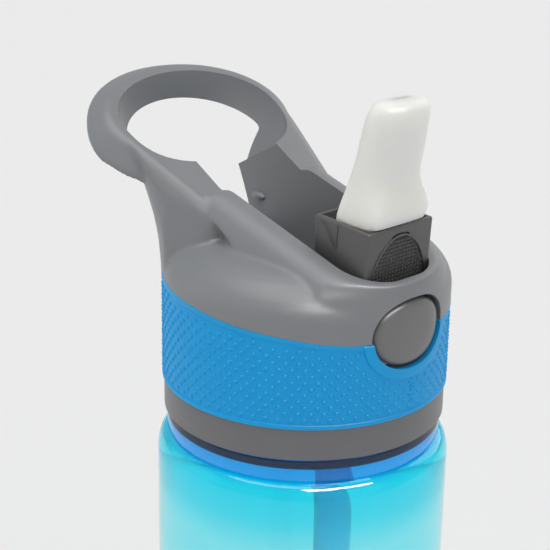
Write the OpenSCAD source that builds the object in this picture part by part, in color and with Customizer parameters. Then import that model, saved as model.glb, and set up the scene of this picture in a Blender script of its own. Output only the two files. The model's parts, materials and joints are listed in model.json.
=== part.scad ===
// Sports drinking bottle: screw lid with a push-button flip-up spout, straw and loop handle.
// Frame: origin at the middle of the base on the floor, +Z up, the button faces -Y.

/* [Bottle] */
// Height of the lid's lower edge above the floor
lid_z = 190; // [150:1:230]
// Radius of the bottle's body
body_r = 36.5; // [36:0.1:38]
// Thickness of the bottle's wall
wall = 1.8; // [1.2:0.1:2.4]
// Outer radius of the bottle's neck under the lid
neck_r = 30; // [29.6:0.1:30.2]
// Radial height of the screw thread
thread_h = 1.1; // [0.8:0.1:1.2]
// Rise of the lid for one full turn
thread_lead = 4.5; // [4:0.1:5]

/* [Lid] */
// Outer radius of the lid's bottom ring
ring_r = 34.8; // [34.6:0.1:35.4]
// Height of the lid's bottom ring
ring_h = 7.8; // [6:0.1:9]
// Outer radius of the grip band
band_r = 35.3; // [35.2:0.1:35.8]
// Half width of the slot that the spout folds into
slot_w = 13.3; // [13:0.1:13.6]
// Half width of the handle's finger loop
loop_a = 24.3; // [23.5:0.1:24.6]
// Half depth of the handle's finger loop
loop_b = 14.4; // [14:0.1:14.8]

/* [Spout] */
// Half width of the spout carrier
carrier_w = 10.8; // [10.6:0.1:10.9]
// Height of the carrier's rim above the lid's lower edge
carrier_top = 53; // [52:0.1:54]
// Height of the spout's tip above the lid's lower edge
spout_top = 83; // [80:0.5:84]
// Radius of the two hinge pins
pin_r = 1.5; // [1.4:0.05:1.6]
// Outer radius of the straw
straw_r = 4.5; // [4.3:0.1:4.6]

/* [Hidden] */
$fn = 96;

// Levels, measured from the lid's lower edge
neck_top = 17;            // mouth of the bottle
gasket_h = 1.8;
deck_z = neck_top + gasket_h;     // underside of the lid's deck
deck_top = deck_z + 2;
bead_z = -0.8;            // top of the bead below the lid
shoulder_z = -6.1;        // foot of the bead
base_round = 5;

// Lid walls
skirt_in = neck_r + thread_h + 0.3;   // inside of the threaded skirt
skirt_out = skirt_in + 1.4;
shell_in = skirt_out + 0.05;
shell_out = 34.1;         // the band is moulded round this radius
shell_low = ring_h + 0.3;

// Spout hinge, and the stem that feeds the spout
hinge_y = -17;
hinge_z = 31;
stem_y = -11;
stem_top = 26;
bore_r = 2.8;
pin_gap = 0.05;
ear_in = carrier_w + 0.3;
ear_out = ear_in + 1.9;
pin_end = 5.8;            // inner end of each hinge pin

// Top planes of the shell, each as height at the axis and slope towards the back
rim_z0 = 50.5;
rim_slope = 0.27;
loop_z0 = 44.2;
loop_slope = 0.55;
loop_y = 39;              // middle of the finger loop

// Button on the front
button_w = 10.6;          // half width
button_low = 20.9;
button_mid = 29.4;
latch_top = 26.2;         // top of the latch's crossbar
latch_r = 32.9;           // its curved front

module lid_frame() translate([0, 0, lid_z]) children();

// ---- helical thread ridge -------------------------------------------------

// One closed ridge wound round the axis: root and crest radii, foot height, turns
module thread_ridge(root, crest, z0, turns, steps) {
    half = 1.1;
    ridge = [[root, -half], [crest, -half * 0.45], [crest, half * 0.45], [root, half]];
    count = round(steps * turns);
    points = [for (i = [0:count]) let (a = 360 * i / steps, z = z0 + thread_lead * i / steps,
        fade = min(1, i / 4, (count - i) / 4))
        for (p = ridge) let (r = root + (p[0] - root) * max(fade, 0.15))
            [r * cos(a), r * sin(a), z + p[1]]];
    sides = [for (i = [0:count - 1]) for (j = [0:3]) let (k = (j + 1) % 4)
        [4 * i + j, 4 * i + k, 4 * i + 4 + k, 4 * i + 4 + j]];
    faces = concat(sides, [[3, 2, 1, 0]], [[for (j = [0:3]) 4 * count + j]]);
    inward = crest < root;
    polyhedron(points, inward ? [for (f = faces) [for (i = [len(f) - 1:-1:0]) f[i]]] : faces,
        convexity = 8);
}

// ---- bottle ---------------------------------------------------------------

module bottle_outline(inset) {
    r = body_r - inset;
    top = lid_z;
    polygon(concat(
        [[0, inset + 2.2], [24, inset + 2.2], [27.5, inset]],
        [for (a = [-90:15:0]) [r - base_round + base_round * cos(a),
            inset + base_round + base_round * sin(a)]],
        [for (a = [0:15:75]) [r - 3.4 + 3.4 * cos(a) , top - 12.2 + 5.2 * sin(a)]],
        [[33.9 - inset, top + shoulder_z - 0.6], [33.9 - inset, top + bead_z - inset * 1.2],
         [neck_r + 0.6 - inset, top + bead_z - inset * 1.2], [neck_r - inset, top + bead_z + 0.8],
         [neck_r - inset, top + neck_top], [0, top + neck_top]]));
}

module bottle() {
    color("deepskyblue", 0.45) {
        difference() {
            rotate_extrude($fn = 96) bottle_outline(0);
            rotate_extrude($fn = 96) bottle_outline(wall);
            translate([0, 0, lid_z + neck_top - 3]) cylinder(r = neck_r - wall, h = 6);
        }
        lid_frame() thread_ridge(neck_r - 0.2, neck_r + thread_h, 5.4, 1.25, 48);
    }
}

// ---- lid base: threaded skirt, deck, stem, hinge ears and latch rails ------

module skirt() {
    difference() {
        union() {
            cylinder(r = ring_r, h = ring_h);
            cylinder(r = skirt_out, h = deck_top);
        }
        translate([0, 0, -1]) cylinder(r = skirt_in, h = deck_z + 1);
    }
}

module hinge_ear(side) {
    translate([side > 0 ? ear_in : -ear_out, hinge_y, 0])
        rotate([90, 0, 90]) linear_extrude(ear_out - ear_in) difference() {
            union() {
                translate([0, hinge_z]) circle(r = 4.2);
                polygon([[-4.2, hinge_z], [-6.5, deck_top - 0.5], [6.5, deck_top - 0.5], [4.2, hinge_z]]);
            }
            translate([0, hinge_z]) circle(r = pin_r);
        }
}

module lid_base() {
    color("dimgray") lid_frame() {
        difference() {
            union() {
                skirt();
                // groove wall that keeps the gasket in place
                difference() {
                    translate([0, 0, deck_z - 2.6]) cylinder(r = 27, h = 3);
                    translate([0, 0, deck_z - 3]) cylinder(r = 25.6, h = 3);
                }
                // stem: socket for the straw below, nipple for the soft tube above
                translate([0, stem_y, deck_z - 20]) cylinder(r = 6.4, h = 21);
                translate([0, stem_y, deck_z]) cylinder(r = 3.4, h = stem_top - deck_z);
                translate([0, stem_y, stem_top - 1.6]) cylinder(r1 = 3.8, r2 = 3.3, h = 1.6);
                for (side = [-1, 1]) hinge_ear(side);
                // rails that guide the latch slide
                for (side = [-1, 1]) translate([side * 8.1 - 0.7, -27.2, deck_top - 0.5])
                    cube([1.4, 3.2, 3.4]);
                // post that the button's spring pushes against
                translate([-3, -24.2, deck_top - 0.5]) cube([6, 1.6, 5.6]);
            }
            translate([0, stem_y, deck_z - 21]) cylinder(r = straw_r, h = 14);
            translate([0, stem_y, deck_z - 8]) cylinder(r = bore_r, h = 30);
            // groove for the stem's sealing ring
            translate([0, stem_y, deck_z - 19]) difference() {
                cylinder(r = straw_r + 1, h = 2);
                translate([0, 0, -1]) cylinder(r = straw_r - 0.5, h = 4);
            }
            // vent holes round the valve's stalk, and the stalk's own hole
            translate([0, 12, deck_z - 1]) {
                cylinder(r = 1.5, h = 4, $fn = 32);
                for (a = [0:90:270]) rotate(a) translate([3.2, 0, 0]) cylinder(r = 0.8, h = 4, $fn = 24);
            }
        }
        thread_ridge(skirt_in + 0.15, neck_r + 0.3, 2.9, 1, 48);
    }
}

module lid_gasket() {
    color("whitesmoke") lid_frame() translate([0, 0, neck_top]) difference() {
        cylinder(r = neck_r + 0.6, h = gasket_h);
        translate([0, 0, -1]) cylinder(r = neck_r - 2.4, h = gasket_h + 2);
    }
}

module vent_valve() {
    color("whitesmoke") lid_frame() translate([0, 12, 0]) rotate_extrude($fn = 48)
        polygon([[0, deck_z - 1.1], [5.4, deck_z - 0.9], [5.4, deck_z - 0.35], [1.8, deck_z],
            [1.5, deck_z], [1.5, deck_top], [2.3, deck_top], [1.5, deck_top + 1.4], [0, deck_top + 1.8]]);
}

module stem_seal() {
    color("whitesmoke") lid_frame() translate([0, stem_y, deck_z - 18]) difference() {
        translate([0, 0, -0.9]) cylinder(r = straw_r + 0.95, h = 1.8);
        translate([0, 0, -2]) cylinder(r = straw_r, h = 4);
    }
}

module straw() {
    foot = 9;
    top = deck_z - 7.2;
    color("aliceblue", 0.6) difference() {
        translate([0, stem_y, foot]) cylinder(r = straw_r, h = lid_z + top - foot);
        translate([0, stem_y, foot - 1]) cylinder(r = straw_r - 0.8, h = lid_z + top - foot + 2);
        // slanted foot, so that it can't seal itself against the base
        translate([-10, stem_y, foot]) rotate([35, 0, 0]) translate([0, -20, -12]) cube([20, 40, 12]);
    }
}

// ---- shell with the loop handle -------------------------------------------

// Rear part that flares into the handle, as ovals
HORN = [[28, 0, 35.2, 35.2], [36, 6, 32.1, 31], [41, 12, 29.3, 27], [46, 18, 27.4, 23],
    [50, 24, 25.9, 18.6], [54, 26, 26, 18.8], [58.7, 28, 26.6, 19], [63, 30, 27.6, 19], [80, 32, 28, 19]];

// Closed body through stacked ovals: level, middle of the oval, half width, half depth
module oval_stack(levels) {
    n = 72;
    m = len(levels);
    points = concat([for (h = levels) for (i = [0:n - 1]) let (a = 360 * i / n)
        [h[2] * cos(a), h[1] + h[3] * sin(a), h[0]]],
        [[0, levels[0][1], levels[0][0]], [0, levels[m - 1][1], levels[m - 1][0]]]);
    low = n * m;
    faces = concat(
        [for (j = [0:m - 2]) for (i = [0:n - 1]) let (k = (i + 1) % n)
            each [[n * j + i, n * (j + 1) + i, n * (j + 1) + k], [n * j + i, n * (j + 1) + k, n * j + k]]],
        [for (i = [0:n - 1]) [low, i, (i + 1) % n]],
        [for (i = [0:n - 1]) [low + 1, n * (m - 1) + (i + 1) % n, n * (m - 1) + i]]);
    polyhedron(points, faces, convexity = 6);
}

// Puts a shape on the leaning plane of the handle's crest
module on_crest() {
    translate([0, loop_y, loop_z0 + loop_y * loop_slope]) rotate([atan(loop_slope), 0, 0]) children();
}

// Strap that closes the finger loop, narrower at the top, and overhangs behind the horn
module strap() {
    intersection() {
        on_crest() oval_stack([[-6.6, 2, 32.2, 23.8], [-0.5, 1, 27.5, 19], [0, 1, 27.1, 18.6]]);
        oval_stack([[40, 39.5, 32, 21.8], [90, 39.5, 32, 21.8]]);
    }
}

// Space under the crest for the horn
module crest_limit() {
    on_crest() hull() {
        translate([0, 1, -0.6]) scale([27.3 / 18.8, 1, 1]) cylinder(r = 18.8, h = 0.6, $fn = 64);
        translate([0, 1.8, -6.5]) scale([31.4 / 23.2, 1, 1]) cylinder(r = 23.2, h = 0.1, $fn = 64);
        translate([-19, -36, -1.2]) cube([38, 10, 1.2]);
        translate([0, -24, -52]) cylinder(r = 45, h = 1, $fn = 64);
    }
}

// Domed cover round the slot's rim
module dome() {
    rotate_extrude() polygon(concat([[0, shell_low], [band_r, shell_low]],
        [for (a = [0:10:90]) [band_r * cos(a), 34 + 16 * sin(a)]]));
}

// Everything below the top surface, seen from the side
module top_limit(drop) {
    rotate([90, 0, 90]) translate([0, 0, -40]) linear_extrude(80)
        polygon([[-40, 0], [-40, rim_z0 - 40 * rim_slope - drop], [22, rim_z0 + 22 * rim_slope - drop],
            [70, loop_z0 + 70 * loop_slope - drop], [70, 0]]);
}

// Plan of the slot, grown by extra all round, from the front to the given y
module slot_plan(extra, back) {
    r = 10.5;
    front_y = -23.3;
    flat = slot_w - r;
    for (side = [-1, 1]) translate([side * flat, front_y]) circle(r = r + extra, $fn = 64);
    translate([-flat, front_y - r - extra]) square([2 * flat, 2 * r]);
    translate([-slot_w - extra, front_y]) square([2 * (slot_w + extra), back - front_y]);
}

// Finger loop below the crest's plane: level, middle, half width, half depth
LOOP = [[-26.3, -12.2, loop_a - 7.8, loop_b + 1.8], [-14, -5.65, loop_a - 7.5, loop_b + 1.8],
    [-6.1, -2.7, loop_a - 3.1, loop_b + 2], [0, 0, loop_a, loop_b + 2], [7, 3.85, loop_a, loop_b + 2]];

// Its walls draw in downwards and its front wall slants down to the tails of the slot's walls
module loop_hole() {
    intersection() {
        on_crest() oval_stack(LOOP);
        rotate([90, 0, 90]) translate([0, 0, -40]) linear_extrude(80)
            polygon([[20, 61.1], [20, 80], [60, 80], [60, 38.2]]);
    }
}

module button_plan(extra) {
    hull() {
        translate([0, button_mid]) scale([button_w / 7, 1, 1]) intersection() {
            circle(r = 6.7 + extra, $fn = 48);
            translate([-20, 0]) square([40, 20]);
        }
        for (side = [-1, 1]) translate([side * (button_w - 5), button_low + 5]) circle(r = 5 + extra, $fn = 32);
    }
}

module button_hole(extra, y0, y1) {
    translate([0, y1, 0]) rotate([90, 0, 0]) linear_extrude(y1 - y0) button_plan(extra);
}

// Band of rubber round the lid: its top edge rises towards the back
module band_zone(r_in, r_out) {
    intersection() {
        translate([0, 0, ring_h]) difference() {
            cylinder(r = r_out, h = 30);
            translate([0, 0, -1]) cylinder(r = r_in, h = 32);
        }
        rotate([90, 0, 90]) translate([0, 0, -40]) linear_extrude(80)
            polygon([[-40, 0], [-40, 27.6], [-33, 27.9], [-22, 30.2], [0, 33], [20, 34.4], [40, 34.8], [40, 0]]);
    }
}

// Raised edge round the slot, wider below
module rim_roll() {
    intersection() {
        hull() for (level = [[shell_low, 9], [42, 9], [58, 2]])
            translate([0, 0, level[0]]) linear_extrude(0.1) slot_plan(level[1], 26);
        translate([0, 0, shell_low]) cylinder(r = band_r, h = 60);
    }
}

module lid_shell() {
    color("slategray") lid_frame() difference() {
        union() {
            intersection() {
                union() {
                    dome();
                    rim_roll();
                }
                top_limit(0);
            }
            intersection() {
                oval_stack(HORN);
                top_limit(0);
                crest_limit();
            }
            strap();
        }
        // room for the lid base, and the hollow between the slot and the cover
        translate([0, 0, shell_low - 1]) cylinder(r = shell_in, h = deck_top - shell_low + 1.1);
        difference() {
            intersection() {
                translate([0, 0, deck_top]) cylinder(r = 32.6, h = 14.2);
                top_limit(3);
                translate([-40, -40, 0]) cube([80, 62, 60]);
            }
            translate([0, 0, deck_top - 1]) linear_extrude(30) slot_plan(1.9, 45);
        }
        // slot for the spout: its floor steps up to a sill at the back
        translate([0, 0, shell_low - 1]) linear_extrude(90) slot_plan(0, 29);
        translate([0, 0, 34.2]) linear_extrude(60) slot_plan(0, 43);
        loop_hole();
        button_hole(0.35, -40, -25);
        // pocket behind the button
        translate([-11.4, -32.6, deck_top - 1]) cube([22.8, 20, 15]);
        band_zone(shell_out, band_r + 1);
    }
}

module grip_band() {
    color("dodgerblue") lid_frame() difference() {
        band_zone(shell_out, band_r);
        button_hole(0.35, -40, -25);
    }
}

// ---- button, latch and spring ---------------------------------------------

module button() {
    color("gray") lid_frame() difference() {
        intersection() {
            button_hole(0, -36, -31);
            cylinder(r = band_r - 0.1, h = 60);
        }
        // hollow behind, apart from the ledge that sits on the latch
        for (level = [[15, latch_top], [latch_top + 1.6, 40]])
            translate([0, 0, level[0]]) cylinder(r = latch_r, h = level[1] - level[0]);
    }
}

module latch_slide() {
    low = deck_top + 0.4;
    color("gainsboro") lid_frame() difference() {
        union() {
            // crossbar behind the button
            intersection() {
                translate([-10.2, -34, low]) cube([20.4, 4.5, latch_top - low]);
                cylinder(r = latch_r, h = 60);
            }
            // two arms with the hooks that hold the carrier down
            for (side = [-1, 1]) translate([side * 9.6 - 0.6, -30, low]) {
                cube([1.2, 5.4, 2.2]);
                translate([0, 4.2, 0]) cube([1.2, 1.2, 3.6]);
            }
        }
        // seat for the spring
        translate([-3, -29.9, low + 0.2]) cube([6, 3, 4.4]);
    }
}

function coil_point(r, pitch, a) = [r * cos(a), r * sin(a), pitch * a / 360];

// A round wire wound along +Z: mean radius, wire radius, pitch and turns
module coil(r, wire, pitch, turns) {
    per = 16;
    count = per * turns;
    points = [for (i = [0:count]) let (a = 360 * i / per, c = coil_point(r, pitch, a))
        for (j = [0:7]) let (b = 45 * j)
            c + wire * [cos(a) * cos(b), sin(a) * cos(b), sin(b)]];
    sides = [for (i = [0:count - 1]) for (j = [0:7]) let (k = (j + 1) % 8)
        [8 * i + j, 8 * i + k, 8 * i + 8 + k, 8 * i + 8 + j]];
    polyhedron(points, concat(sides, [[for (j = [7:-1:0]) j]], [[for (j = [0:7]) 8 * count + j]]),
        convexity = 8);
}

module button_spring() {
    color("silver") lid_frame() translate([0, -24.55, deck_top + 2.9]) rotate([90, 0, 0])
        coil(1.8, 0.3, 1.4, 3.5);
}

// ---- spout ------------------------------------------------------------------

// Side view of the carrier, front to the left
module carrier_side() {
    polygon([[-28.3, 27.5], [-29.2, 37], [-30.2, carrier_top], [-13, carrier_top + 0.9], [-13, 42],
        [-12.2, 34], [-12.6, 26.2], [-16, 25.4], [-22, 25.6]]);
}

module spout_carrier() {
    color("dimgray") lid_frame() difference() {
        rotate([90, 0, 90]) translate([0, 0, -carrier_w]) linear_extrude(2 * carrier_w) carrier_side();
        // hollow, open below and at the back under the rear wall
        translate([-9, -26.8, 20]) cube([18, 12.4, 40]);
        translate([-9, -28.2, 43]) cube([18, 13.8, 20]);
        translate([-9, -20, 20]) cube([18, 12, 22]);
        translate([-20, hinge_y, hinge_z]) rotate([0, 90, 0]) cylinder(r = pin_r + pin_gap, h = 40);
        // seats for the retainer's side tabs
        for (side = [-1, 1]) translate([side > 0 ? 8.9 : -11.3, -21.2, carrier_top - 5.5])
            cube([2.4, 2.4, 10]);
    }
}

module spout_retainer() {
    color("gray") lid_frame() difference() {
        union() {
            translate([-8.95, -28.15, carrier_top - 5.4]) cube([17.9, 13.7, 2.2]);
            for (side = [-1, 1]) translate([side > 0 ? 8.8 : -10.6, -21.1, carrier_top - 5.4])
                cube([1.8, 2.2, 4.9]);
        }
        translate([0, -22.3, carrier_top - 7]) cylinder(r = 5, h = 8);
    }
}

// One level of the spout: centre, half width, half depth, height
module spout_level(y, a, b, z) {
    translate([0, y, z]) scale([a / b, 1, 1]) cylinder(r = b, h = 0.1, $fn = 48);
}

// Part of the spout that stands inside the carrier's rim
module spout_foot() {
    hull() for (z = [carrier_top - 2, carrier_top + 0.2]) spout_level(-22, 8.7, 6, z);
}

module spout() {
    color("ivory") lid_frame() difference() {
        union() {
            translate([-8.7, -28, carrier_top - 3.1]) cube([17.4, 11.6, 1.6]);
            spout_foot();
            hull() { spout_level(-23, 8.9, 6.4, carrier_top + 0.2); spout_level(-24.2, 8.6, 6.2, 64); }
            hull() { spout_level(-24.2, 8.6, 6.2, 64); spout_level(-27.4, 8.4, 5.8, 79); }
            hull() { spout_level(-27.4, 8.4, 5.8, 79); spout_level(-28, 6.4, 3.9, spout_top - 0.7); }
        }
        translate([0, -22.4, carrier_top - 4]) cylinder(r = bore_r, h = 8);
        hull() {
            translate([0, -22.4, carrier_top + 3]) cylinder(r = bore_r, h = 1);
            spout_level(-26.8, 5.6, 3.4, 77);
        }
        // slit that opens to drink
        translate([-4, -28.1, 75]) cube([8, 0.3, 12]);
    }
}

// Line of the soft tube's bore, as y and z
TUBE_BORE = [[stem_y, stem_top - 1], [-13.5, 31], [-21, 39.5], [-22.4, carrier_top - 2.5]];

module spout_tube() {
    color("ivory") lid_frame() difference() {
        union() {
            hull() {
                translate([0, stem_y, deck_top + 0.6]) cylinder(r = 4.9, h = 6.2, $fn = 48);
                translate([0, -13.5, 31]) sphere(r = 4.5, $fn = 32);
            }
            hull() {
                translate([0, -13.5, 31]) sphere(r = 4.5, $fn = 32);
                translate([0, -21, 39.5]) sphere(r = 4.4, $fn = 32);
            }
            hull() {
                translate([0, -21, 39.5]) sphere(r = 4.4, $fn = 32);
                translate([0, -22.4, carrier_top - 3.6]) cylinder(r = 4.4, h = 0.4, $fn = 48);
            }
        }
        translate([0, stem_y, deck_z]) cylinder(r = 3.4, h = stem_top - deck_z);
        translate([0, stem_y, stem_top - 1.7]) cylinder(r = 3.8, h = 1.8);
        for (i = [0:2]) hull() for (p = [TUBE_BORE[i], TUBE_BORE[i + 1]])
            translate([0, p[0], p[1]]) sphere(r = bore_r, $fn = 24);
    }
}

module hinge_pins() {
    color("silver") lid_frame() for (side = [-1, 1])
        translate([side > 0 ? pin_end : -ear_out, hinge_y, hinge_z]) rotate([0, 90, 0])
            cylinder(r = pin_r, h = ear_out - pin_end);
}

module hinge_spring() {
    color("silver") lid_frame() for (side = [-1, 1])
        translate([side * 7.2 - 1.2, hinge_y, hinge_z]) rotate([0, 90, 0]) coil(2.2, 0.3, 0.8, 3);
}

bottle();
lid_base();
lid_shell();
grip_band();
lid_gasket();
vent_valve();
stem_seal();
straw();
button();
latch_slide();
button_spring();
spout_carrier();
spout_retainer();
spout();
spout_tube();
hinge_pins();
hinge_spring();
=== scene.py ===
import json
import math

import bpy
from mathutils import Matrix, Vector

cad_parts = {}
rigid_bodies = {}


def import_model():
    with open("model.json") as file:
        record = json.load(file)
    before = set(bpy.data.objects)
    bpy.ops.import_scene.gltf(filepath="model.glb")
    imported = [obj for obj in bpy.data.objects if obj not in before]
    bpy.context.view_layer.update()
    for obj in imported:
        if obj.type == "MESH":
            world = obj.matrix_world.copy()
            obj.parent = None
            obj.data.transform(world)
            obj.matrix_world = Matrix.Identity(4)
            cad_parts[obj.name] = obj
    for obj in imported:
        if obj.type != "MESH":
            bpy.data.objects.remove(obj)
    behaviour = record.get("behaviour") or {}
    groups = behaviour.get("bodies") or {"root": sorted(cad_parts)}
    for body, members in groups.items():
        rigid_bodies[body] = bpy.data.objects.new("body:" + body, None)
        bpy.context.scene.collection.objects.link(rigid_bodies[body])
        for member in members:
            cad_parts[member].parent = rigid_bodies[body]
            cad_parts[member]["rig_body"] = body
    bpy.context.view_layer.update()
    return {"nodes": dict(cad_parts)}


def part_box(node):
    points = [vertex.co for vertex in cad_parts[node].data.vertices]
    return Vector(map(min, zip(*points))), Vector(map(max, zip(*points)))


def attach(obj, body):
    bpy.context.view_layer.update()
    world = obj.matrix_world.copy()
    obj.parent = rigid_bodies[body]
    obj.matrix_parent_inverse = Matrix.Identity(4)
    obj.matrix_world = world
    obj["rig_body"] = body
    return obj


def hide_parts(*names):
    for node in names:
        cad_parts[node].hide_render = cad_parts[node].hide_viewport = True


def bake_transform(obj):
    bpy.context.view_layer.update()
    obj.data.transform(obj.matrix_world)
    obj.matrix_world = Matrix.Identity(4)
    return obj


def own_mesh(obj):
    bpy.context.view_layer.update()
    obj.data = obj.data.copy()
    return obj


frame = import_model()
bpy.ops.object.select_all(action="DESELECT")

mm = 0.001
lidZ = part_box("grip_band")[0].z - 7.8 * mm  # every level below is measured from the lid's lower edge
print("frame loaded:", len(frame["nodes"]), "nodes")


# Ways of working

def pick(piece):  # the only object selected
    bpy.ops.object.select_all(action="DESELECT")
    piece.select_set(True)
    bpy.context.view_layer.objects.active = piece


def finishEdit(name):  # leaves edit mode with clean outward faces and the place in the mesh
    bpy.ops.mesh.select_all(action="SELECT")
    bpy.ops.mesh.normals_make_consistent(inside=False)
    bpy.ops.object.mode_set(mode="OBJECT")
    bpy.ops.object.transform_apply(location=True, rotation=True, scale=True)
    piece = bpy.context.object
    piece.name = name
    piece.data.name = name
    return piece


def lid(x, y, z):  # a point in lid millimetres
    return Vector((x * mm, y * mm, lidZ + z * mm))


def column(name, levels, sides=96):  # stacked ovals: level, middle y, half width, half depth
    bpy.ops.object.select_all(action="DESELECT")
    z, y, wide, deep = levels[0][:4]
    bpy.ops.mesh.primitive_circle_add(vertices=sides, radius=mm, fill_type="NGON",
                                      enter_editmode=True, location=lid(0, y, z))
    bpy.ops.mesh.select_all(action="SELECT")
    bpy.ops.transform.resize(value=(wide, deep, 1), center_override=lid(0, y, z))
    for old, new in zip(levels, levels[1:]):
        shift = (0, (new[1] - old[1]) * mm, (new[0] - old[0]) * mm)
        bpy.ops.mesh.extrude_region_move(TRANSFORM_OT_translate={"value": shift})
        bpy.ops.transform.resize(value=(new[2] / old[2], new[3] / old[3], 1),
                                 center_override=lid(0, new[1], new[0]))
    return finishEdit(name)


def slab(name, outline, low, high, across="x"):  # an outline of y, z (or x, z or x, y) points, extruded
    bpy.ops.object.select_all(action="DESELECT")
    bpy.ops.mesh.primitive_circle_add(vertices=len(outline), radius=mm, fill_type="NGON")
    for corner, (a, b) in zip(bpy.context.object.data.vertices, outline):
        corner.co = {"x": lid(low, a, b), "y": lid(a, low, b), "z": lid(a, b, low)}[across]
    bpy.ops.object.mode_set(mode="EDIT")
    bpy.ops.mesh.select_all(action="SELECT")
    way = [letter == across for letter in "xyz"]
    bpy.ops.mesh.extrude_region_move(
        TRANSFORM_OT_translate={"value": [(high - low) * mm * part for part in way]})
    return finishEdit(name)


def stepIn(steps):  # insets the selected face again and again: inward, raised
    for inward, rise in steps:
        bpy.ops.mesh.inset(thickness=inward * mm, depth=rise * mm)


def upright(half, low, high):  # the corners of a rectangle as x, z (or x, y)
    return [(-half, low), (half, low), (half, high), (-half, high)]


def apply(piece, kind, **settings):  # adds one modifier and applies it
    pick(piece)
    modifier = piece.modifiers.new(kind.title(), kind)
    for key, value in settings.items():
        setattr(modifier, key, value)
    bpy.ops.object.modifier_apply(modifier=modifier.name)
    return piece


def combine(piece, other, operation, solver="EXACT"):  # boolean that uses the other piece up
    apply(piece, "BOOLEAN", object=other, operation=operation, solver=solver)
    bpy.data.objects.remove(other, do_unlink=True)
    return piece


def joinAll(piece, *others):  # several meshes as one object
    pick(piece)
    for other in others:
        other.select_set(True)
    bpy.ops.object.join()
    return piece


def selectPoints(piece, wanted):  # enters edit mode with the points that wanted(x, y, z) accepts
    pick(piece)
    bpy.ops.object.mode_set(mode="EDIT")
    bpy.ops.mesh.select_mode(type="VERT")
    bpy.ops.mesh.select_all(action="DESELECT")
    bpy.ops.object.mode_set(mode="OBJECT")
    for corner in piece.data.vertices:
        corner.select = wanted(corner.co.x / mm, corner.co.y / mm, (corner.co.z - lidZ) / mm)
    bpy.ops.object.mode_set(mode="EDIT")


def smoothShade(piece, angle=35):
    pick(piece)
    bpy.ops.object.shade_smooth_by_angle(angle=math.radians(angle))
    return piece


def place(piece, body, finish, slotName, *nodes):  # material, body, slot (slotName is not used) and what it stands for
    piece.data.materials.clear()
    piece.data.materials.append(finish)
    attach(piece, body)
    if nodes:
        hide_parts(*nodes)
    return piece


# Finishes

def newFinish(name):
    finish = bpy.data.materials.new(name)
    finish.use_nodes = True
    nodes = finish.node_tree.nodes
    return finish, nodes, finish.node_tree.links, nodes["Principled BSDF"]


def mouldedPlastic(name, colour, roughness, grain=0.12, mottle=0.05):
    finish, nodes, links, shader = newFinish(name)
    where = nodes.new("ShaderNodeTexCoord")
    cloud = nodes.new("ShaderNodeTexNoise")
    cloud.inputs["Scale"].default_value = 90
    cloud.inputs["Detail"].default_value = 3
    links.new(where.outputs["Object"], cloud.inputs["Vector"])
    tone = nodes.new("ShaderNodeValToRGB")
    tone.color_ramp.elements[0].color = [c * (1 - mottle) for c in colour] + [1]
    tone.color_ramp.elements[1].color = [c * (1 + mottle) for c in colour] + [1]
    links.new(cloud.outputs["Fac"], tone.inputs["Fac"])
    links.new(tone.outputs["Color"], shader.inputs["Base Color"])
    sheen = nodes.new("ShaderNodeMapRange")
    sheen.inputs["To Min"].default_value = roughness - 0.04
    sheen.inputs["To Max"].default_value = roughness + 0.04
    links.new(cloud.outputs["Fac"], sheen.inputs["Value"])
    links.new(sheen.outputs["Result"], shader.inputs["Roughness"])
    texture = nodes.new("ShaderNodeTexNoise")
    texture.inputs["Scale"].default_value = 2600
    texture.inputs["Detail"].default_value = 2
    links.new(where.outputs["Object"], texture.inputs["Vector"])
    bump = nodes.new("ShaderNodeBump")
    bump.inputs["Strength"].default_value = grain
    bump.inputs["Distance"].default_value = 0.00005
    links.new(texture.outputs["Fac"], bump.inputs["Height"])
    links.new(bump.outputs["Normal"], shader.inputs["Normal"])
    return finish


def softRubber(name, colour, roughness):
    finish = mouldedPlastic(name, colour, roughness, 0.2, 0.03)
    shader = finish.node_tree.nodes["Principled BSDF"]
    shader.inputs["Specular IOR Level"].default_value = 0.3
    return finish


def milkySilicone(name, colour, depth):
    finish = mouldedPlastic(name, colour, 0.42, 0.06, 0.01)
    shader = finish.node_tree.nodes["Principled BSDF"]
    shader.inputs["Subsurface Weight"].default_value = 0.85
    shader.inputs["Subsurface Radius"].default_value = (1.0, 0.85, 0.65)
    shader.inputs["Subsurface Scale"].default_value = depth
    return finish


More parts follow.
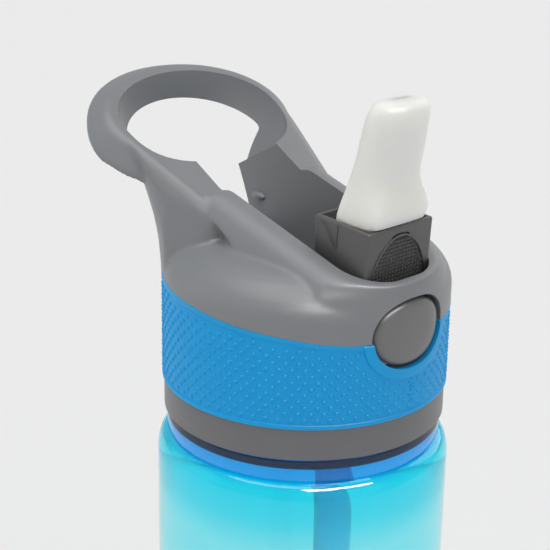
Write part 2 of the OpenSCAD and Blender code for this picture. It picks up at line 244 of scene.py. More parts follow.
def clearPlastic(name, stops, scatter=0.05, roughness=0.02):  # tint by level, which on the bottle is painted shade and painted depth of colour; lets the lamps' light through
    finish, nodes, links, shader = newFinish(name)
    ray = nodes.new("ShaderNodeLightPath")
    pane = nodes.new("ShaderNodeBsdfTransparent")
    blend = nodes.new("ShaderNodeMixShader")
    pane.inputs["Color"].default_value = (*[0.8 * c for c in stops[0][1]], 1)
    links.new(ray.outputs["Is Shadow Ray"], blend.inputs["Fac"])
    links.new(shader.outputs["BSDF"], blend.inputs[1])
    links.new(pane.outputs["BSDF"], blend.inputs[2])
    links.new(blend.outputs["Shader"], nodes["Material Output"].inputs["Surface"])
    where = nodes.new("ShaderNodeTexCoord")
    height = nodes.new("ShaderNodeSeparateXYZ")
    links.new(where.outputs["Object"], height.inputs["Vector"])
    climb = nodes.new("ShaderNodeMapRange")
    low, high = stops[0][0], stops[-1][0]
    climb.inputs["From Min"].default_value = lidZ + low * mm
    climb.inputs["From Max"].default_value = lidZ + high * mm
    links.new(height.outputs["Z"], climb.inputs["Value"])
    tone = nodes.new("ShaderNodeValToRGB")
    marks = tone.color_ramp.elements
    for level, colour in stops:
        if level == low:
            mark = marks[0]
        elif level == high:
            mark = marks[len(marks) - 1]
        else:
            mark = marks.new((level - low) / (high - low))
        mark.color = (*colour, 1)
    links.new(climb.outputs["Result"], tone.inputs["Fac"])
    links.new(tone.outputs["Color"], shader.inputs["Base Color"])
    ripple = nodes.new("ShaderNodeTexNoise")
    ripple.inputs["Scale"].default_value = 60
    links.new(where.outputs["Object"], ripple.inputs["Vector"])
    bump = nodes.new("ShaderNodeBump")
    bump.inputs["Strength"].default_value = 0.02
    bump.inputs["Distance"].default_value = 0.0005
    links.new(ripple.outputs["Fac"], bump.inputs["Height"])
    links.new(bump.outputs["Normal"], shader.inputs["Normal"])
    shader.inputs["Roughness"].default_value = roughness
    shader.inputs["Transmission Weight"].default_value = 1 - scatter
    shader.inputs["IOR"].default_value = 1.5
    return finish


def drawnSteel(name):
    finish, nodes, links, shader = newFinish(name)
    where = nodes.new("ShaderNodeTexCoord")
    lines = nodes.new("ShaderNodeTexNoise")
    lines.inputs["Scale"].default_value = 1500
    links.new(where.outputs["Object"], lines.inputs["Vector"])
    sheen = nodes.new("ShaderNodeMapRange")
    sheen.inputs["To Min"].default_value = 0.2
    sheen.inputs["To Max"].default_value = 0.38
    links.new(lines.outputs["Fac"], sheen.inputs["Value"])
    links.new(sheen.outputs["Result"], shader.inputs["Roughness"])
    shader.inputs["Base Color"].default_value = (0.6, 0.6, 0.62, 1)
    shader.inputs["Metallic"].default_value = 1
    return finish


lidGrey = mouldedPlastic("lidGrey", (0.23, 0.24, 0.252), 0.4)
ringGrey = mouldedPlastic("ringGrey", (0.16, 0.16, 0.168), 0.4)
carrierGrey = mouldedPlastic("carrierGrey", (0.1, 0.097, 0.097), 0.35)
buttonGrey = mouldedPlastic("buttonGrey", (0.18, 0.178, 0.18), 0.36)
acetal = mouldedPlastic("acetal", (0.68, 0.68, 0.66), 0.4)
bandBlue = softRubber("bandBlue", (0.0, 0.37, 0.8), 0.45)
sealSilicone = milkySilicone("sealSilicone", (0.8, 0.8, 0.78), 0.002)
spoutSilicone = milkySilicone("spoutSilicone", (0.93, 0.9, 0.84), 0.007)
steel = drawnSteel("drawnSteel")
# painted shade: the stops deepen the bead to dark blue and turn the neck dark navy from the lid's edge up,
# where the lid shades it; the saturated cyan at the shoulder is painted depth of colour where light crosses
# more walls
bottleClearPaintedShade = clearPlastic("bottleClearPaintedShade", [
    (-60, (0.5, 0.96, 1.0)), (-24, (0.44, 0.94, 1.0)), (-16, (0.1, 0.86, 1.0)), (-8, (0.0, 0.82, 1.0)),
    (-6.3, (0.0, 0.44, 1.0)), (-1, (0.0, 0.38, 0.95)), (0, (0.0, 0.12, 0.6)), (17, (0.0, 0.2, 0.7))])
strawClear = clearPlastic("strawClear", [(-180, (0.4, 0.85, 0.95)), (20, (0.3, 0.8, 0.95))], 0.2, 0.2)
print("finishes made")


# Camera, floor and lights

view = {
    "place": (-0.25096, -0.25272, 0.35305),
    "turn": (69.879, -0.927, -43.227),
    "lens": 101.73,
}
studio = {
    "room": 0.5, "floor": 0.83,
    "lamps": [("topLamp", (-0.25, 0.1, 1.6), 45, 1.5), ("frontLamp", (-0.2, -1.5, 0.9), 60, 0.2),
              ("leftLamp", (-1.2, 1.4, 0.7), 50, 0.2), ("rimLamp", (1.3, 0.1, 0.8), 40, 0.5)],
    "card": {"spot": (-0.09, -0.64, 1.02), "wide": 0.85, "deep": 0.26, "glow": 26},
}


def makeCamera():
    bpy.ops.object.camera_add(location=view["place"], rotation=[math.radians(t) for t in view["turn"]])
    camera = bpy.context.object
    camera.data.lens = view["lens"]
    camera.data.sensor_width = 36
    bpy.context.scene.camera = camera


def makeStudio():
    bpy.context.scene.view_settings.view_transform = "Standard"
    world = bpy.data.worlds.new("paleRoom")
    bpy.context.scene.world = world
    world.use_nodes = True
    world.node_tree.nodes["Background"].inputs["Color"].default_value = (0.84, 0.84, 0.84, 1)
    world.node_tree.nodes["Background"].inputs["Strength"].default_value = studio["room"]
    bpy.ops.object.select_all(action="DESELECT")
    bpy.ops.mesh.primitive_plane_add(size=12)
    floor = bpy.context.object
    floor.name = "studioFloor"
    paper, _, _, shader = newFinish("palePaper")
    shader.inputs["Base Color"].default_value = (*[studio["floor"]] * 3, 1)
    shader.inputs["Roughness"].default_value = 0.95
    shader.inputs["Specular IOR Level"].default_value = 0.1
    floor.data.materials.append(paper)
    for name, spot, spread, power in studio["lamps"]:
        bpy.ops.object.light_add(type="SUN", location=spot)
        lamp = bpy.context.object
        lamp.name = name
        lamp.data.angle = math.radians(spread)
        lamp.data.energy = power
        lamp.rotation_euler = (Vector((0, 0, lidZ)) - Vector(spot)).to_track_quat("-Z", "Y").to_euler()
    makeCard(studio["card"])


def makeCard(card):  # a bright panel above the viewer, seen only as a reflection
    spot = Vector(card["spot"])
    turn = (Vector((0, 0, lidZ)) - spot).to_track_quat("Z", "Y").to_euler()
    bpy.ops.object.select_all(action="DESELECT")
    bpy.ops.mesh.primitive_plane_add(size=1, location=spot, rotation=turn)
    panel = bpy.context.object
    panel.name = "softCard"
    panel.scale = (card["wide"], card["deep"], 1)
    glow, _, _, shader = newFinish("cardGlow")
    shader.inputs["Base Color"].default_value = (0, 0, 0, 1)
    shader.inputs["Emission Color"].default_value = (1, 1, 1, 1)
    shader.inputs["Emission Strength"].default_value = card["glow"]
    panel.data.materials.append(glow)
    panel.visible_camera = panel.visible_diffuse = panel.visible_transmission = panel.visible_shadow = False


makeCamera()
makeStudio()
print("camera and studio ready")


# Bottle and straw

bottle = {"radius": 36.5, "wall": 1.8, "baseRound": 5, "neck": 30, "bead": 33.9}
straw = {"footRise": 6.5, "footSlant": 35, "wall": 0.8}


def makeBottle():
    r, t, floorZ = bottle["radius"], bottle["wall"], -lidZ / mm
    neck, bead, foot = bottle["neck"], bottle["bead"], bottle["baseRound"]
    rim = [(floorZ + foot - foot * math.cos(a), r - foot + foot * math.sin(a))
           for a in [math.radians(15 * i) for i in range(7)]]
    shoulder = [(-12.2 + 5.6 * math.sin(a), r - 3 + 3 * math.cos(a))
                for a in [math.radians(12 * i) for i in range(8)]]
    top = [(-6, bead), (-5.6, bead + 0.2), (-1.1, bead + 0.2), (-0.6, bead), (-0.35, bead - 0.6),
           (-0.35, neck + 0.8), (0.3, neck), (16.6, neck), (17, neck - 0.4)]
    base = [(floorZ + 2.2, 5), (floorZ + 2.2, 24), (floorZ, 27.5)]
    outside = base + rim + [(-60, r), (-14, r)] + shoulder + top
    inside = [(17, neck - t + 0.4), (16.6, neck - t), (-1, neck - t), (-2.8, neck - t + 0.6),
              (-3.4, bead - t), (-6.5, bead - t), (-8, bead - t + 0.3), (-13, r - t), (-60, r - t),
              (floorZ + foot + t, r - t), (floorZ + t + 1.5, r - t - 1.8), (floorZ + t, r - foot - t),
              (floorZ + t, 27), (floorZ + t + 2.2, 24), (floorZ + t + 2.2, 5)]
    piece = column("bottleBody", [(z, 0, w, w) for z, w in outside + inside], 128)
    smoothShade(piece, 40)
    place(piece, "bottle", bottleClearPaintedShade, "bottle_clear", "bottle")


def makeStraw():
    bpy.ops.object.select_all(action="DESELECT")
    low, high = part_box("straw")
    bpy.ops.mesh.primitive_cylinder_add(vertices=64, radius=(high.x - low.x) / 2, depth=high.z - low.z,
                                        end_fill_type="NOTHING", location=(low + high) / 2,
                                        enter_editmode=True)
    bpy.ops.mesh.select_all(action="SELECT")
    slant = math.radians(straw["footSlant"])
    bpy.ops.mesh.bisect(plane_co=(0, low.y, low.z + straw["footRise"] * mm),
                        plane_no=(0, math.sin(slant), math.cos(slant)), clear_inner=True)
    piece = finishEdit("drinkingStraw")
    apply(piece, "SOLIDIFY", thickness=straw["wall"] * mm, offset=-1)
    smoothShade(piece)
    place(piece, "lid", strawClear, "straw_clear", "straw")


makeBottle()
makeStraw()
print("bottle and straw made")


# Lid shell with the loop handle

shell = {
    "underBand": 34.1, "inner": 32.85, "low": 8.1, "deck": 20.8,
    "rimHeight": 50.5, "rimSlope": 0.27, "loopHeight": 44.2, "loopSlope": 0.55,
    "slotHalf": 13.3, "slotRound": 10.5, "slotFront": -22.7, "slotBack": 29, "sill": 34.2, "sillBack": 43,
    "dome": [(8.1, 35.3), (33.3, 35.3), (34.6, 35.1), (36.2, 34.5), (38, 33.3), (39.6, 31.7), (41, 29.6),
             (42.2, 27), (43.2, 23), (44, 16), (44.2, 8)],
    "horn": [(28, 0, 35.2, 35.2), (32, 3, 33.6, 33), (36, 6, 32.1, 31), (41, 12, 29.3, 27), (46, 18, 27.4, 23),
             (50, 24, 25.9, 18.6), (54, 26, 26, 18.8), (58.7, 28, 26.6, 19), (63, 30, 27.6, 19),
             (80, 32, 28, 19)],
    "loopMiddle": 39, "strapEnd": (39.5, 32, 21.8),
    "hornLimit": [(-32, 0, 19, 4), (-32, -1.5, 21, 4), (-13, -0.3, 23.4, 4), (-13, -1.6, 25.2, 5),
                  (-24, -50, 47, 50)],
    "hole": [(-30, 41, 13.6, 14.2), (-16, 40.8, 15.2, 14.2), (-7, 39.6, 21.2, 14.4), (-0.5, 39, 24.4, 14.5),
             (8, 39, 24.4, 14.5)],
    "holeHalf": (24.4, 14.6), "fuller": 0.085, "holeFront": (25.3, 58.1), "holeFrontNormal": (0.498, 0.867),
    "crest": [(1, 0, 25.9, 17.3), (1, -0.35, 26.9, 18.4), (1.05, -1.1, 27.9, 19.4), (2.0, -5.6, 32.0, 23.6),
              (2.0, -6.6, 32.4, 24.0)],
    "rollGrow": 9.5, "rollBack": 20, "rollLow": -30, "rollRise": 21,
    "roll": [(1, 3), (1, 2), (1.2, 1.6), (1.4, 1.2), (1.4, 0.7), (1.5, 0.4)],
    "rollLimit": [(8, 0, 35.3, 35.3), (30, 0, 35.3, 35.3), (33, -1, 34.1, 34.3), (35, -2, 32.6, 33.3),
                  (37, -3.5, 30.1, 31.8), (39, -5.5, 28, 29.8), (41, -7, 25.2, 28.2), (43, -8, 23.4, 27.2),
                  (46, -6, 23.6, 28), (50, 0, 24.5, 28), (62, 0, 24.5, 28)],
    "stop": (13.6, 31.7, 42.8), "stopHalf": (1.7, 2.4, 1.2), "pocket": (11.4, 19.8, 34.8),
    "voxel": 0.5, "soften": 12, "thin": 0.6,
}


def slotColumn(name, grow, back, low, height, steps=()):  # the slot's outline, raised and then stepped in
    r, front, flat = shell["slotRound"] + grow, shell["slotFront"], shell["slotHalf"] - shell["slotRound"]
    bpy.ops.object.select_all(action="DESELECT")
    bpy.ops.mesh.primitive_circle_add(vertices=64, radius=r * mm, fill_type="NGON",
                                      location=lid(0, front, low))
    outline = bpy.context.object
    for corner in outline.data.vertices:
        if corner.co.y > 0.01 * mm:  # the straight back edge, with no points near its corners
            near = abs(corner.co.x) > 0.99 * r * mm
            corner.co.x = math.copysign((flat + r) * mm, corner.co.x) if near else corner.co.x * 0.4
            corner.co.y = (back - front) * mm
        elif abs(corner.co.x) > 0.1 * mm:
            corner.co.x += math.copysign(flat * mm, corner.co.x)
    bpy.ops.object.mode_set(mode="EDIT")
    bpy.ops.mesh.select_all(action="SELECT")
    bpy.ops.mesh.extrude_region_move(TRANSFORM_OT_translate={"value": (0, 0, height * mm)})
    stepIn(steps)
    return finishEdit(name)


def tilt(piece, height, slope):  # leans a piece built round z = 0 onto a sloping plane
    for corner in piece.data.vertices:
        corner.co.z += (height + slope * corner.co.y / mm) * mm
    return piece


def leaningHull(name, rings):  # convex body round ovals stacked on the crest's leaning plane
    middle, slope = shell["loopMiddle"], shell["loopSlope"]
    top = shell["loopHeight"] + slope * middle
    bpy.ops.object.select_all(action="DESELECT")
    for y, z, wide, deep in rings:
        spot = lid(0, middle + y, top + z)
        if bpy.context.mode == "OBJECT":
            bpy.ops.mesh.primitive_circle_add(vertices=72, radius=mm, location=spot, enter_editmode=True)
        else:
            bpy.ops.mesh.select_all(action="DESELECT")
            bpy.ops.mesh.primitive_circle_add(vertices=72, radius=mm, location=spot)
        bpy.ops.transform.resize(value=(wide, deep, 1), center_override=spot)
    bpy.ops.mesh.select_all(action="SELECT")
    bpy.ops.mesh.convex_hull()
    bpy.ops.transform.rotate(value=-math.atan(slope), orient_axis="X", center_override=lid(0, middle, top))
    return finishEdit(name)


def makeHandle():  # the flaring horn and the loop's strap, which leans back and overhangs behind
    y, wide, deep = shell["strapEnd"]
    strap = leaningHull("loopStrap", shell["crest"])
    combine(strap, column("strapEnd", [(30, y, wide, deep), (90, y, wide, deep)]), "INTERSECT")
    horn = column("handleHorn", shell["horn"])
    combine(horn, leaningHull("hornLimit", shell["crest"] + shell["hornLimit"]), "INTERSECT")
    return joinAll(horn, strap)


def loopCutter():  # the finger hole: its front wall slants down to the tails of the slot's walls
    hole = column("fingerHole", shell["hole"], 128)
    middle, (wide, deep) = shell["loopMiddle"], shell["holeHalf"]
    for corner in hole.data.vertices:  # fuller corners at the front
        x, y = corner.co.x / mm, corner.co.y / mm - middle
        if y < 0:
            full = 1 + shell["fuller"] * math.sin(2 * math.atan2(abs(x) / wide, -y / deep)) ** 2
            corner.co.x, corner.co.y = x * full * mm, (middle + y * full) * mm
    tilt(hole, shell["loopHeight"], shell["loopSlope"])
    pick(hole)
    bpy.ops.object.mode_set(mode="EDIT")
    bpy.ops.mesh.select_all(action="SELECT")
    bpy.ops.mesh.bisect(plane_co=lid(0, *shell["holeFront"]), plane_no=(0, *shell["holeFrontNormal"]),
                        use_fill=True, clear_inner=True)
    return finishEdit("fingerHole")


def buttonOutline(grow=0):
    points = []
    count = 64
    for i in range(count):
        turn = 2 * math.pi * i / count
        across, up = math.cos(turn), math.sin(turn)
        half = button["top"] if up > 0 else button["bottom"]
        points.append(((button["half"] + grow) * math.copysign(abs(across) ** 0.93, across),
                       button["middle"] + (half + grow) * math.copysign(abs(up) ** 0.93, up)))
    return points


def bandTop(y):  # level of the band's top edge, which climbs towards the back
    points = band["topEdge"]
    for (y0, z0), (y1, z1) in zip(points, points[1:]):
        if y <= y1:
            return z0 + (z1 - z0) * (max(y, y0) - y0) / (y1 - y0)
    return points[-1][1]


def hoop(name, profile):  # a closed outline of r, z spun round, whose upper part follows bandTop
    bpy.ops.object.select_all(action="DESELECT")
    bpy.ops.mesh.primitive_circle_add(vertices=len(profile), radius=mm)
    for corner, (r, z) in zip(bpy.context.object.data.vertices, profile):
        corner.co = lid(0, -r, z)
    bpy.ops.object.mode_set(mode="EDIT")
    bpy.ops.mesh.select_all(action="SELECT")
    bpy.ops.mesh.spin(steps=192, angle=2 * math.pi, center=(0, 0, 0), axis=(0, 0, 1))
    bpy.ops.mesh.select_all(action="SELECT")
    bpy.ops.mesh.remove_doubles(threshold=0.01 * mm)
    ring = finishEdit(name)
    for corner in ring.data.vertices:
        if corner.co.z > lidZ + band["wavyFrom"] * mm:
            corner.co.z += (bandTop(corner.co.y / mm) - band["drawnTop"]) * mm
    return ring


def wallBump(side):  # a small rounded stop on the slot's wall
    across, back, up = shell["stop"]
    spot = lid(side * across, back, up)
    bpy.ops.object.select_all(action="DESELECT")
    bpy.ops.mesh.primitive_uv_sphere_add(segments=24, ring_count=16, radius=mm, location=spot,
                                         enter_editmode=True)
    bpy.ops.transform.resize(value=shell["stopHalf"], center_override=spot)
    return finishEdit("wallBump")


def makeShell():
    lo, inner, under, top = shell["low"], shell["inner"], shell["underBand"], band["drawnTop"]
    piece = column("lidShell", [(z, 0, w, w) for z, w in shell["dome"]])
    roll = slotColumn("slotRoll", shell["rollGrow"], shell["rollBack"], shell["rollLow"], shell["rollRise"],
                      shell["roll"])
    tilt(roll, shell["rimHeight"], shell["rimSlope"])
    combine(roll, column("rollLimit", shell["rollLimit"]), "INTERSECT")
    joinAll(piece, roll, makeHandle())
    apply(piece, "REMESH", mode="VOXEL", voxel_size=shell["voxel"] * mm)
    apply(piece, "SMOOTH", factor=0.5, iterations=shell["soften"])
    apply(piece, "DECIMATE", ratio=shell["thin"])
    print("shell's outer form made")
    cuts = [column("baseRoom", [(level, 0, inner, inner) for level in (lo - 1, shell["deck"] + 0.1)]),
            hoop("bandRecess", [(under, 7), (37, 7), (37, top), (under, top)]),
            slotColumn("slotCut", 0, shell["slotBack"], lo - 2, 80),
            slotColumn("slotBack", 0, shell["sillBack"], shell["sill"], 60),
            loopCutter(),
            slab("buttonHole", buttonOutline(button["shellGap"]), -40, -25, "y"),
            slab("buttonPocket", upright(*shell["pocket"]), -32.6, -12, "y")]
    for cut in cuts:
        combine(piece, cut, "DIFFERENCE", "MANIFOLD")
    joinAll(piece, *[wallBump(side) for side in (-1, 1)])
    smoothShade(piece, 32)
    place(piece, "lid", lidGrey, "lid_grey", "lid_shell")
    print("shell made,", len(piece.data.polygons), "faces")


# Grip band and button

band = {
    "inner": 34.15, "face": 35.0, "lip": 35.3, "low": 7.85,
    "topEdge": [(-40, 27.9), (-33, 27.9), (-22, 30.2), (0, 33), (20, 34.4), (40, 34.8)],
    "drawnTop": 30, "wavyFrom": 20, "collar": 2.9, "collarFace": 35.6, "bumps": 73, "rows": 17,
    "rowStep": 1.53, "firstRow": 10.1, "bumpRadius": 0.66, "bumpSunk": 0.12, "bumpFlat": 0.76, "bumpCut": 0.06,
    "clearOfCollar": 3.4, "clearOfTop": 1.7,
}
button = {
    "half": 10.7, "middle": 28.8, "top": 7.5, "bottom": 8.2, "face": 35.4, "back": 31.8, "deep": 2.1,
    "curvedFrom": 33, "shellGap": 0.95, "bandGap": 0.6,
    "edge": [(0.18, 0.5), (0.35, 0.42), (0.55, 0.3), (0.9, 0.2), (1.5, 0.14), (2.2, 0.08)],
}


def makeBumps():
    r = band["face"]
    bpy.ops.object.select_all(action="DESELECT")
    spot = lid(0, -r + band["bumpSunk"], band["firstRow"])
    bpy.ops.mesh.primitive_uv_sphere_add(segments=8, ring_count=6, radius=band["bumpRadius"] * mm,
                                         location=spot, rotation=(math.pi / 2, 0, 0), enter_editmode=True)
    bpy.ops.mesh.select_all(action="SELECT")
    bpy.ops.transform.resize(value=(1, band["bumpFlat"], 1), center_override=spot)
    bpy.ops.mesh.bisect(plane_co=(0, (-r + band["bumpCut"]) * mm, 0), plane_no=(0, -1, 0), clear_inner=True)
    bpy.ops.mesh.select_all(action="SELECT")
    count = band["bumps"]
    bpy.ops.mesh.spin(steps=count - 1, dupli=True, angle=2 * math.pi * (count - 1) / count,
                      center=(0, 0, 0), axis=(0, 0, 1))
    bpy.ops.mesh.select_all(action="SELECT")
    for row in range(band["rows"]):
        bpy.ops.mesh.duplicate_move(TRANSFORM_OT_translate={"value": (0, 0, band["rowStep"] * mm)})
        bpy.ops.transform.rotate(value=math.pi / count, orient_axis="Z", center_override=(0, 0, 0))
    bumps = finishEdit("gripBumps")
    wide, tall = button["half"] + band["clearOfCollar"], button["bottom"] + band["clearOfCollar"]

    def outside(x, y, z):  # above the band's lip, or in the collar round the button
        nearButton = y < 0 and math.hypot(x / wide, (z - button["middle"]) / tall) < 1
        return z > bandTop(y) - band["clearOfTop"] or nearButton

    selectPoints(bumps, outside)
    bpy.ops.mesh.select_linked()
    bpy.ops.mesh.delete(type="VERT")
    bpy.ops.object.mode_set(mode="OBJECT")
    return bumps


def makeBand():
    face, lip, low, inner, top = band["face"], band["lip"], band["low"], band["inner"], band["drawnTop"]
    outer = band["collarFace"]
    piece = hoop("gripBand", [(inner, low), (lip - 0.15, low), (lip, low + 0.15), (lip, low + 0.85),
                              (lip - 0.1, low + 1.05), (face, low + 1.15), (face, top - 1.4),
                              (lip - 0.1, top - 1.25), (lip, top - 1.1), (lip, top - 0.2), (lip - 0.15, top),
                              (inner, top)])
    collar = slab("buttonCollar", buttonOutline(band["collar"]), -38, -25, "y")
    zone = hoop("collarZone", [(inner, 9), (outer, 9), (outer, top - 0.3), (outer - 0.3, top), (inner, top)])
    combine(collar, zone, "INTERSECT")
    apply(collar, "BEVEL", width=0.22 * mm, segments=2, angle_limit=math.radians(50))
    combine(piece, collar, "UNION")
    combine(piece, slab("bandHole", buttonOutline(button["bandGap"]), -40, -25, "y"), "DIFFERENCE")
    seam = slab("bandSeam", [(0.35, 8.4), (0.6, 8.4), (0.6, 18.4), (0.35, 18.4)], -face - 0.12, -face + 0.3,
                "y")
    joinAll(piece, seam, makeBumps())
    smoothShade(piece, 40)
    place(piece, "lid", bandBlue, "band_rubber", "grip_band")
    print("band made,", len(piece.data.polygons), "faces")


def makeButton():
    bpy.ops.object.select_all(action="DESELECT")
    outline = buttonOutline()
    bpy.ops.mesh.primitive_circle_add(vertices=len(outline), radius=mm, fill_type="NGON")
    for corner, (x, z) in zip(bpy.context.object.data.vertices, outline):
        corner.co = lid(x, -button["back"], z)
    bpy.ops.object.mode_set(mode="EDIT")
    bpy.ops.mesh.select_all(action="SELECT")
    bpy.ops.mesh.extrude_region_move(TRANSFORM_OT_translate={"value": (0, -button["deep"] * mm, 0)})
    stepIn(button["edge"])
    piece = finishEdit("pushButton")
    front = button["face"]
    for corner in [c for c in piece.data.vertices if c.co.y < -button["curvedFrom"] * mm]:
        corner.co.y += (front - math.sqrt(front ** 2 - (corner.co.x / mm) ** 2)) * mm
    smoothShade(piece, 50)
    place(piece, "button", buttonGrey, "button_grey", "button")


makeShell()
makeBand()
makeButton()
print("shell, band and button made")


# Spout, its carrier and the frame round it

spout = {  # each level: height, middle y, half width, half depth, squareness
    "levels": [(50.2, -22, 8.6, 5.9, 3), (53.2, -22, 8.7, 6, 4), (53.35, -23.5, 9.55, 6.5, 6),
               (55, -24.1, 9.65, 6.7, 6), (56.6, -24.5, 9.55, 6.75, 5.5), (58.4, -24.6, 9.35, 6.7, 4.4),
               (61, -24.5, 9.0, 6.5, 3), (64, -24.6, 8.8, 6.4, 2.2), (67, -25.3, 8.8, 6.3, 2),
               (70, -26.0, 8.75, 6.2, 2), (73, -26.6, 8.65, 6.1, 2), (76, -27.2, 8.5, 5.95, 2),
               (78.5, -27.8, 8.4, 5.7, 2), (80, -28.15, 8.15, 5.35, 2), (81.2, -28.25, 7.5, 4.7, 2),
               (81.9, -28.3, 6.6, 3.8, 2), (82.25, -28.3, 5.4, 2.6, 2), (82.35, -28.3, 3.5, 1.4, 2)],
    "bore": [(49, -22.4, 2.8, 2.8), (57, -22.8, 2.8, 2.8), (70, -25.8, 5, 3), (77, -27.2, 5.4, 3)],
    "slit": (2.6, 79, 84), "flange": (8.8, -28.1, -16.4),
}
carrier = {
    "half": 10.8,
    "side": [(-28.3, 27.5), (-29.2, 37), (-30.2, 53), (-13, 53.9), (-13, 42), (-12.2, 34), (-12.6, 26.2),
             (-16, 25.4), (-22, 25.6)],
    "upperWell": [(-29.15, 51.6), (-14, 52.5), (-14, 60), (-29.15, 60)],
    "innerWell": [(-28.2, 43), (-26.8, 43), (-26.8, 20), (-14.4, 20), (-14.4, 60), (-28.2, 60)],
    "lowerWell": [(-20, 20), (-8, 20), (-8, 42), (-20, 42)],
    "archLow": 36, "archHalf": 9.5, "archHigh": 14.6, "hinge": (-17, 31), "pinHalf": 1.55,
    "knurl": {"columns": 18, "rows": 20, "wide": 19, "tall": 18.6, "middle": 41.5, "point": 0.75},
}
retainer = {
    "half": 8.9, "plate": [(-28.1, 47.6), (-14.5, 47.6), (-14.5, 49.8), (-28.1, 49.8)],
    "tabIn": 8.8, "tabOut": 11.05,
    "tab": [(-14.2, 53.5), (-15.6, 52.9), (-16.9, 51.8), (-17.7, 50.2), (-18.5, 48.8), (-19.7, 47.4),
            (-20.4, 47.5), (-20.7, 53.2)],
}


def makeSpout():
    levels = spout["levels"]
    piece = column("spoutMouthpiece", [level[:4] for level in levels], 64)
    for z, y, wide, deep, square in levels:  # squares the foot off
        for corner in piece.data.vertices:
            if abs(corner.co.z - lidZ - z * mm) < 0.01 * mm:
                turn = math.atan2((corner.co.y / mm - y) / deep, corner.co.x / mm / wide)
                across, back = math.cos(turn), math.sin(turn)
                corner.co.x = wide * mm * math.copysign(abs(across) ** (2 / square), across)
                corner.co.y = (y + deep * math.copysign(abs(back) ** (2 / square), back)) * mm
    combine(piece, slab("spoutSlit", upright(*spout["slit"]), -28.36, -28.24, "y"), "DIFFERENCE")
    combine(piece, column("spoutBore", spout["bore"], 32), "DIFFERENCE")
    combine(piece, slab("spoutFlange", upright(*spout["flange"]), 49.9, 51.5, "z"), "UNION")
    smoothShade(piece, 50)
    place(piece, "spout_carrier", spoutSilicone, "spout_silicone", "spout")


def archOutline(grow=0):  # the thumb panel's arch as x, z
    low, half, high = carrier["archLow"], carrier["archHalf"] + grow, carrier["archHigh"] + grow
    return [(half, low - 6)] + [(half * math.cos(t), low + high * math.sin(t))
                                for t in [math.pi * i / 32 for i in range(33)]] + [(-half, low - 6)]


def leanFront(piece):  # follows the carrier's leaning front face
    for corner in piece.data.vertices:
        corner.co.y -= ((corner.co.z - lidZ) / mm - 45) / 16 * mm
    return piece


def makeKnurl():  # rows of small pyramids inside the arch
    bpy.ops.object.select_all(action="DESELECT")
    grid = carrier["knurl"]
    bpy.ops.mesh.primitive_grid_add(x_subdivisions=grid["columns"], y_subdivisions=grid["rows"], size=1,
                                    location=lid(0, -29.35, grid["middle"]), rotation=(math.pi / 2, 0, 0))
    bpy.context.object.scale = (grid["wide"] * mm, grid["tall"] * mm, 1)
    bpy.ops.object.transform_apply(location=True, rotation=True, scale=True)
    knurl = bpy.context.object
    low, half, high = carrier["archLow"], carrier["archHalf"] - 0.1, carrier["archHigh"] - 0.1
    bpy.ops.object.mode_set(mode="EDIT")
    bpy.ops.mesh.select_mode(type="FACE")
    bpy.ops.mesh.select_all(action="DESELECT")
    bpy.ops.object.mode_set(mode="OBJECT")
    for face in knurl.data.polygons:
        x, z = face.center.x / mm, (face.center.z - lidZ) / mm
        face.select = math.hypot(x / half, max(z - low, 0) / high) > 0.97
    bpy.ops.object.mode_set(mode="EDIT")
    bpy.ops.mesh.delete(type="FACE")
    bpy.ops.mesh.select_all(action="SELECT")
    bpy.ops.mesh.poke(offset=grid["point"] * mm)
    bpy.ops.mesh.select_mode(type="VERT")
    bpy.ops.object.mode_set(mode="OBJECT")
    knurl.name = "knurl"
    return leanFront(knurl)


def makeCarrier():
    half = carrier["half"]
    piece = slab("spoutCarrier", carrier["side"], -half, half)
    apply(piece, "BEVEL", width=0.5 * mm, segments=3, angle_limit=math.radians(30))
    notch = [(3 * math.cos(t), 50.6 + 0.8 * math.sin(t)) for t in [math.pi * i / 12 for i in range(24)]]
    pin, (hingeY, hingeZ) = carrier["pinHalf"], carrier["hinge"]
    wells = [slab("upperWell", carrier["upperWell"], -9.7, 9.7),
             slab("innerWell", carrier["innerWell"], -9, 9),
             slab("lowerWell", carrier["lowerWell"], -9, 9),
             leanFront(slab("archRecess", archOutline(), -31, -29.35, "y")),
             slab("archTop", notch, -31, -29.5, "y"),
             column("pinBore", [(level, 0, pin, pin) for level in (0, 40)], 32)]
    pinBore = wells[-1]
    for corner in pinBore.data.vertices:  # turned to lie along the hinge
        x, z = corner.co.x / mm, (corner.co.z - lidZ) / mm
        corner.co = lid(z - 20, corner.co.y / mm + hingeY, x + hingeZ)
    for well in wells:
        combine(piece, well, "DIFFERENCE")
    border = leanFront(slab("archBorder", archOutline(0.45), -29.95, -29.3, "y"))
    combine(border, leanFront(slab("archInside", archOutline(0.05), -31, -29, "y")), "DIFFERENCE")
    combine(border, slab("borderCut", upright(20, 20, 33), -40, -20, "y"), "DIFFERENCE")
    combine(piece, border, "UNION")
    joinAll(piece, makeKnurl())
    smoothShade(piece, 30)
    place(piece, "spout_carrier", carrierGrey, "carrier_grey", "spout_carrier")


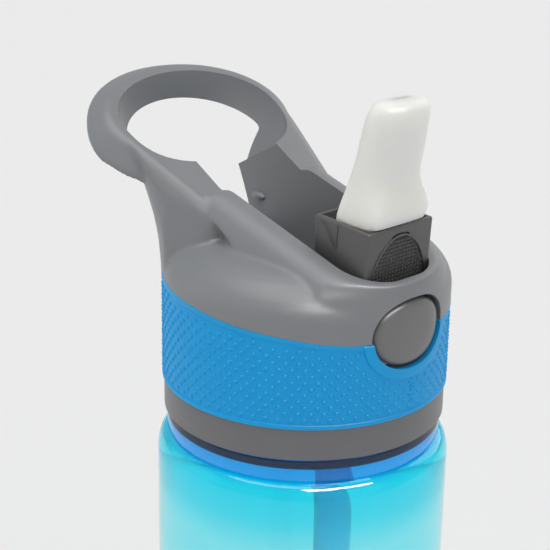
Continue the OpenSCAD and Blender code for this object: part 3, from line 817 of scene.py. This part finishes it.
def makeRetainer():
    piece = slab("spoutRetainer", retainer["plate"], -retainer["half"], retainer["half"])
    combine(piece, column("tubeWay", [(40, -22.3, 5, 5), (56, -22.3, 5, 5)], 48), "DIFFERENCE")
    for side in (-1, 1):
        tab = slab("sideTab", retainer["tab"], side * retainer["tabIn"], side * retainer["tabOut"])
        combine(piece, tab, "UNION")
    apply(piece, "BEVEL", width=0.2 * mm, segments=2, angle_limit=math.radians(40))
    smoothShade(piece, 30)
    place(piece, "spout_carrier", carrierGrey, "carrier_grey", "spout_retainer")


makeSpout()
makeCarrier()
makeRetainer()
print("spout and carrier made")


# Inner pieces, polished from the frame's own solids

def polished(name, node, body, finish, slotName, edge=0):  # merged and smoothed copy of the frame's solid
    source = frame["nodes"][node]
    piece = bpy.data.objects.new(name, source.data.copy())
    bpy.context.scene.collection.objects.link(piece)
    pick(piece)
    bpy.ops.object.mode_set(mode="EDIT")
    bpy.ops.mesh.select_all(action="SELECT")
    bpy.ops.mesh.remove_doubles(threshold=0.001 * mm)
    bpy.ops.mesh.tris_convert_to_quads()
    bpy.ops.object.mode_set(mode="OBJECT")
    if edge:
        apply(piece, "BEVEL", width=edge * mm, segments=2, angle_limit=math.radians(50))
    smoothShade(piece, 40)
    return place(piece, body, finish, slotName, node)


polished("lidBase", "lid_base", "lid", ringGrey, "lid_dark")
polished("mouthGasket", "lid_gasket", "lid_gasket", sealSilicone, "silicone", 0.2)
polished("ventValve", "vent_valve", "lid", sealSilicone, "silicone")
polished("stemSeal", "stem_seal", "lid", sealSilicone, "silicone", 0.2)
polished("latchSlide", "latch_slide", "button", acetal, "inner_plastic", 0.15)
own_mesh(polished("buttonSpring", "button_spring", "lid", steel, "spring_steel"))
polished("hingePins", "hinge_pins", "lid", steel, "spring_steel", 0.15)
polished("hingeSpring", "hinge_spring", "lid", steel, "spring_steel")


def makeTube():  # rides no single body: it runs from the lid's stem to the carrier and is left with no body
    piece = polished("softTube", "spout_tube", "lid", spoutSilicone, "spout_silicone")
    piece.parent = None
    del piece["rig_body"]
    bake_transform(piece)


makeTube()
print("inner pieces made")
